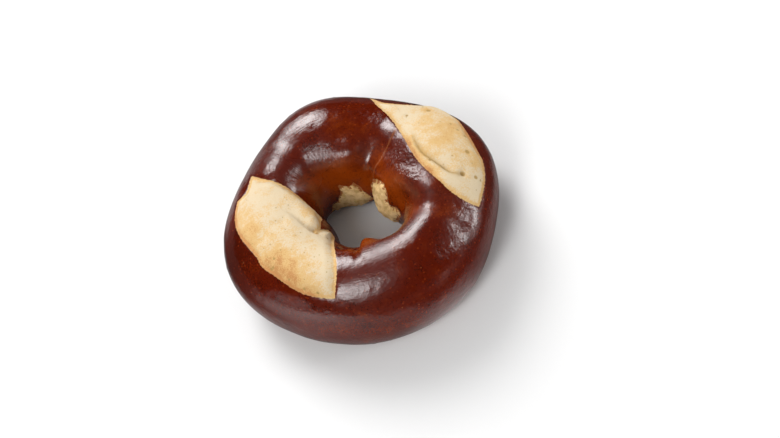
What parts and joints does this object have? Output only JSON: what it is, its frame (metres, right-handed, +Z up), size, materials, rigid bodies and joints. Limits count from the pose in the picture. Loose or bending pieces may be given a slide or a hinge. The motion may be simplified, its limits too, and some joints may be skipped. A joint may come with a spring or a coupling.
{
  "type": "pretzel bagel",
  "caption": "Ring of glossy mahogany-brown pretzel bread with a flat base, a small uneven hole, and pale crumb swollen through splits in its crust.",
  "frame": {"origin": "the middle of the bagel's box, on the surface that its flat base lies on", "axes": "+Z up through the hole, -Y towards the picture's camera, +X to its right before the picture's own lean"},
  "size_m": [0.1155, 0.112, 0.0429],
  "materials": {
    "crust": "glossy baked crust, with matt pale crumb in the splits"
  },
  "bodies": {
    "root": {"bread": "crust"}
  },
  "joints": []
}
